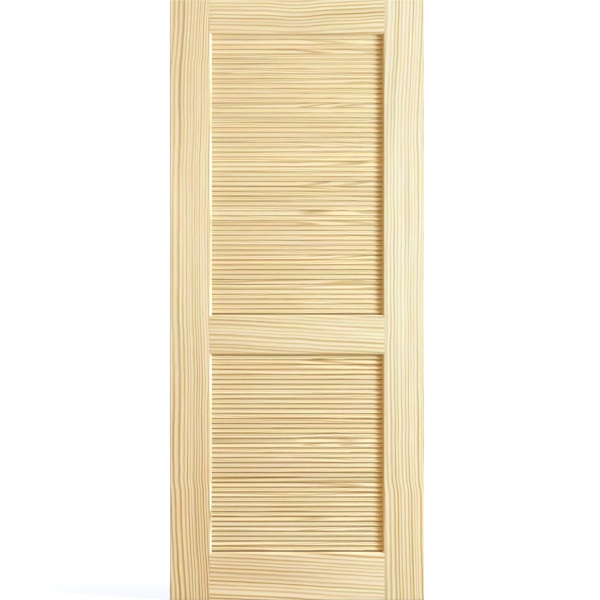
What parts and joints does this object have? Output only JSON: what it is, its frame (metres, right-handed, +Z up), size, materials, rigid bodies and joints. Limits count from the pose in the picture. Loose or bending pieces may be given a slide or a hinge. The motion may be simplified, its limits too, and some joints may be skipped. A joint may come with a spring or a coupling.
{
  "type": "louvred door",
  "caption": "Plain softwood door leaf: stiles and rails around an upper and a lower bank of fixed sloping slats that screen the view and let air through.",
  "frame": {"origin": "on the hinge edge, at its bottom end and in the middle of the leaf's thickness", "axes": "+Z up the leaf, +X across the leaf from the hinge edge to the latch edge, -Y out of the front, where the slats' edges are low"},
  "size_m": [0.86, 0.035, 2.032],
  "materials": {
    "stile_pine": "matte",
    "rail_pine": "matte",
    "slat_pine": "matte"
  },
  "bodies": {
    "root": {"bottom_rail": "rail_pine", "left_stile": "stile_pine", "lower_slats_01": "slat_pine", "lower_slats_02": "slat_pine", "lower_slats_03": "slat_pine", "lower_slats_04": "slat_pine", "lower_slats_05": "slat_pine", "lower_slats_06": "slat_pine", "lower_slats_07": "slat_pine", "lower_slats_08": "slat_pine", "lower_slats_09": "slat_pine", "lower_slats_10": "slat_pine", "lower_slats_11": "slat_pine", "lower_slats_12": "slat_pine", "lower_slats_13": "slat_pine", "mid_rail": "rail_pine", "right_stile": "stile_pine", "top_rail": "rail_pine", "upper_slats_01": "slat_pine", "upper_slats_02": "slat_pine", "upper_slats_03": "slat_pine", "upper_slats_04": "slat_pine", "upper_slats_05": "slat_pine", "upper_slats_06": "slat_pine", "upper_slats_07": "slat_pine", "upper_slats_08": "slat_pine", "upper_slats_09": "slat_pine", "upper_slats_10": "slat_pine", "upper_slats_11": "slat_pine", "upper_slats_12": "slat_pine", "upper_slats_13": "slat_pine", "upper_slats_14": "slat_pine", "upper_slats_15": "slat_pine", "upper_slats_16": "slat_pine", "upper_slats_17": "slat_pine", "upper_slats_18": "slat_pine", "upper_slats_19": "slat_pine"}
  },
  "joints": []
}
